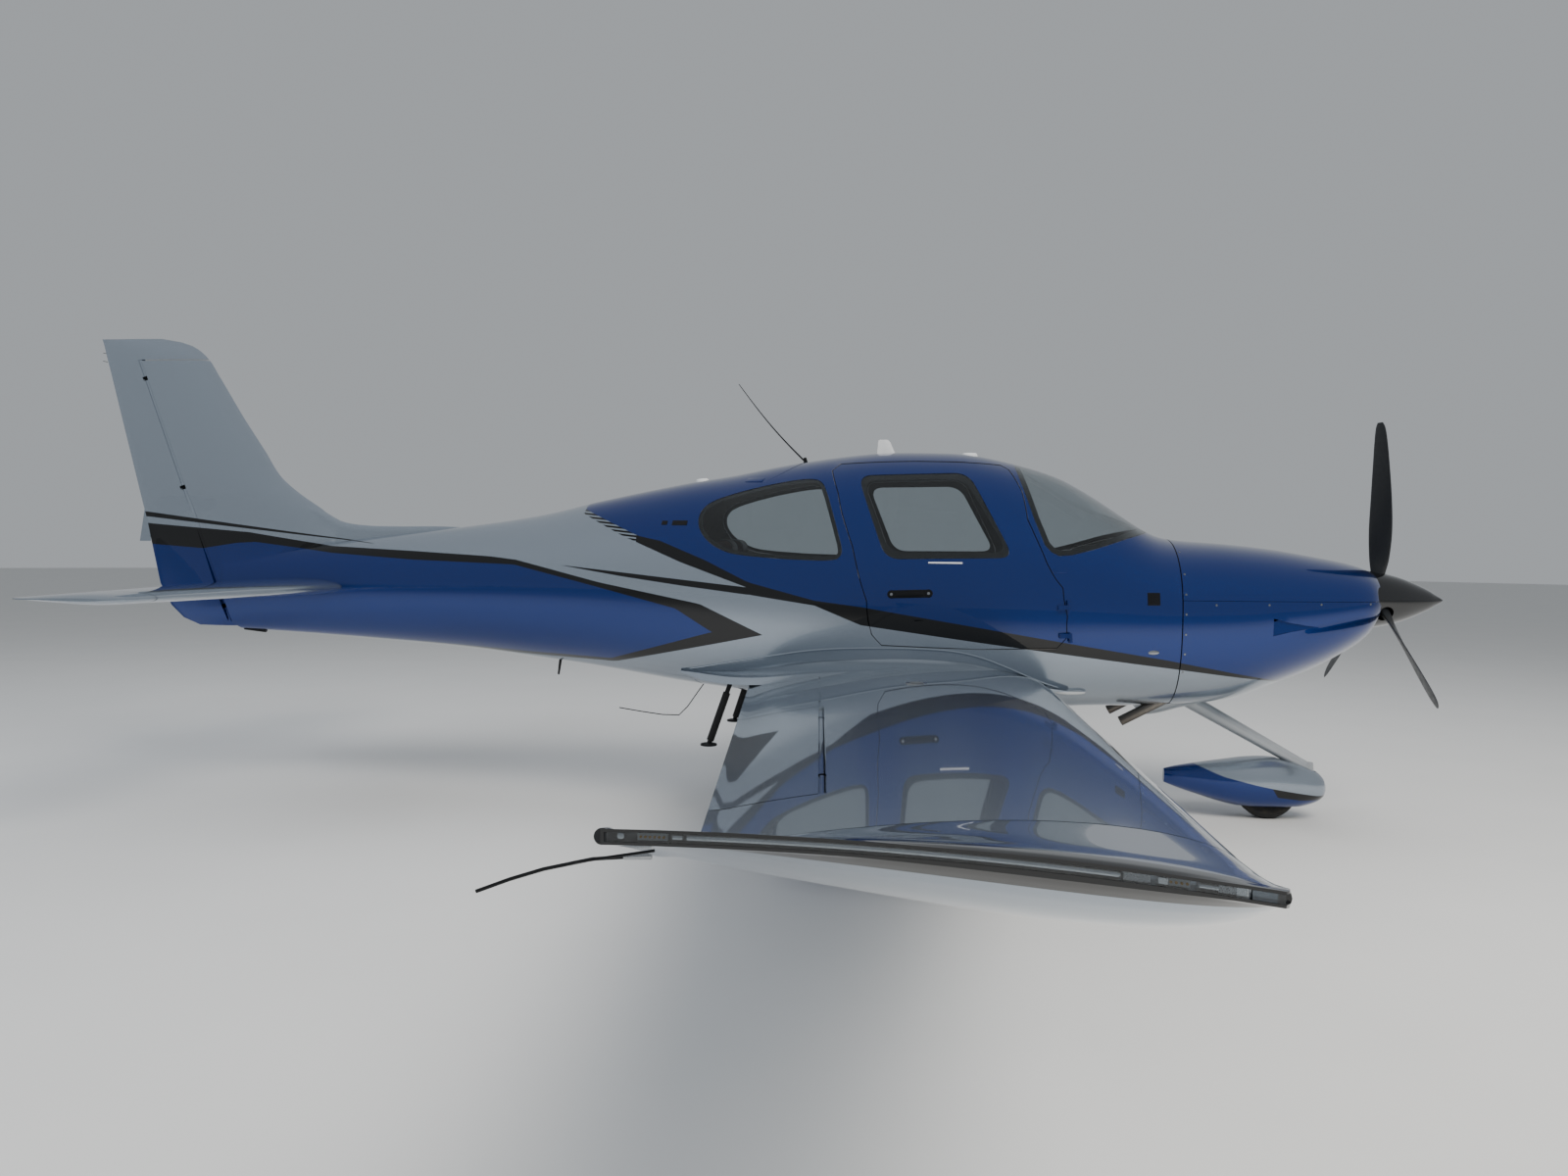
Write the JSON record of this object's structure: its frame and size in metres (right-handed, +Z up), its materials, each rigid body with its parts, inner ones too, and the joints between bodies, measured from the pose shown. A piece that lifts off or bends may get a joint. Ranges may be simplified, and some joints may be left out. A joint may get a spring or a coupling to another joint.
{
  "type": "light aircraft",
  "caption": "Low-wing, single-engine touring aeroplane with fixed tricycle gear, castering nose wheel, tractor propeller, two cabin doors and hinged flight controls.",
  "frame": {"origin": "on the ground under the middle of the bounding box, on the plane of symmetry", "axes": "+X to the nose, +Y to the aircraft's left wing tip, +Z up"},
  "size_m": [7.917, 11.68, 2.729],
  "materials": {
    "fuselage_paint": "gloss",
    "pearl_paint": "gloss",
    "fairing_paint": "gloss",
    "leg_paint": "gloss",
    "black_gloss": "gloss",
    "tinted_glazing": "gloss",
    "engine_metal": "satin",
    "steel": "satin",
    "tyre": "matte",
    "wheel_alloy": "satin",
    "seat_hide": "matte",
    "panel_plastic": "matte",
    "antenna_plastic": "satin"
  },
  "bodies": {
    "airframe": {"cabin_shell": "fuselage_paint", "rear_fuselage": "pearl_paint", "cowl_upper": "fuselage_paint", "cowl_lower": "fuselage_paint", "engine_block": "engine_metal", "windshield": "tinted_glazing", "horizontal_stabilizer": "pearl_paint", "nose_gear_leg": "leg_paint", "rear_seat": "seat_hide", "instrument_panel": "panel_plastic", "whip_antenna": "antenna_plastic", "wing_right": "pearl_paint", "wing_tip_right": "pearl_paint", "rear_window_right": "tinted_glazing", "front_seat_right": "seat_hide", "boarding_step_right": "steel", "exhaust_pipe_right": "steel", "main_gear_leg_right": "leg_paint", "main_wheel_fairing_right": "fairing_paint", "wing_left": "pearl_paint", "wing_tip_left": "pearl_paint", "rear_window_left": "tinted_glazing", "front_seat_left": "seat_hide", "boarding_step_left": "steel", "exhaust_pipe_left": "steel", "main_gear_leg_left": "leg_paint", "main_wheel_fairing_left": "fairing_paint"},
    "propeller": {"spinner": "black_gloss", "propeller_blades": "black_gloss"},
    "nose_caster": {"nose_fork": "steel", "nose_wheel_fairing": "fairing_paint"},
    "nose_wheel": {"nose_tyre": "tyre", "nose_hub": "wheel_alloy"},
    "main_wheel_right": {"main_tyre_right": "tyre", "main_hub_right": "wheel_alloy"},
    "main_wheel_left": {"main_tyre_left": "tyre", "main_hub_left": "wheel_alloy"},
    "door_right": {"door_right": "fuselage_paint", "door_window_right": "tinted_glazing"},
    "door_left": {"door_left": "fuselage_paint", "door_window_left": "tinted_glazing"},
    "flap_right": {"flap_right": "pearl_paint"},
    "flap_left": {"flap_left": "pearl_paint"},
    "aileron_right": {"aileron_right": "pearl_paint"},
    "aileron_left": {"aileron_left": "pearl_paint"},
    "elevator": {"elevator": "pearl_paint"},
    "rudder": {"rudder": "pearl_paint"}
  },
  "joints": [
    {"name": "propeller_spin", "type": "hinge", "parent": "airframe", "child": "propeller", "pos_m": [3.612, 0, 1.238], "axis": [1, 0, 0], "continuous": true},
    {"name": "nose_caster_turn", "type": "hinge", "parent": "airframe", "child": "nose_caster", "pos_m": [3.265, 0, 0.25], "axis": [0, 0, 1], "range_deg": [-85, 85]},
    {"name": "nose_wheel_spin", "type": "hinge", "parent": "nose_caster", "child": "nose_wheel", "pos_m": [3.04, 0, 0.165], "axis": [0, 1, 0], "continuous": true},
    {"name": "main_wheel_right_spin", "type": "hinge", "parent": "airframe", "child": "main_wheel_right", "pos_m": [0.98, -1.665, 0.193], "axis": [0, 1, 0], "continuous": true},
    {"name": "main_wheel_left_spin", "type": "hinge", "parent": "airframe", "child": "main_wheel_left", "pos_m": [0.98, 1.665, 0.193], "axis": [0, 1, 0], "continuous": true},
    {"name": "door_right_swing", "type": "hinge", "parent": "airframe", "child": "door_right", "pos_m": [1.868, -0.655, 1.05], "axis": [-0.0698, 0.0448, 0.9966], "range_deg": [0, 75]},
    {"name": "door_left_swing", "type": "hinge", "parent": "airframe", "child": "door_left", "pos_m": [1.868, 0.655, 1.05], "axis": [0.0698, 0.0448, -0.9966], "range_deg": [0, 75]},
    {"name": "flap_right_down", "type": "hinge", "parent": "airframe", "child": "flap_right", "pos_m": [0.57663, -0.77, 0.76908], "axis": [0.0812, -0.994, 0.073], "range_deg": [0, 32]},
    {"name": "flap_left_down", "type": "hinge", "parent": "airframe", "child": "flap_left", "pos_m": [0.57663, 0.77, 0.76908], "axis": [-0.0812, -0.994, -0.073], "range_deg": [0, 32]},
    {"name": "aileron_right_swing", "type": "hinge", "parent": "airframe", "child": "aileron_right", "pos_m": [0.77081, -3.148, 0.94362], "axis": [0.0812, -0.994, 0.073], "range_deg": [-12.5, 12.5]},
    {"name": "aileron_left_swing", "type": "hinge", "parent": "airframe", "child": "aileron_left", "pos_m": [0.77081, 3.148, 0.94362], "axis": [-0.0812, -0.994, -0.073], "range_deg": [-12.5, 12.5]},
    {"name": "elevator_swing", "type": "hinge", "parent": "airframe", "child": "elevator", "pos_m": [-2.97, 0, 1.225], "axis": [0, 1, 0], "range_deg": [-15, 25]},
    {"name": "rudder_swing", "type": "hinge", "parent": "airframe", "child": "rudder", "pos_m": [-3.0744, 0, 0.9], "axis": [-0.3459, 0, 0.9383], "range_deg": [-20, 20]}
  ],
  "couplings": [
    {"joint": "flap_left_down", "follows": "flap_right_down", "ratio": 1},
    {"joint": "aileron_left_swing", "follows": "aileron_right_swing", "ratio": -1}
  ]
}
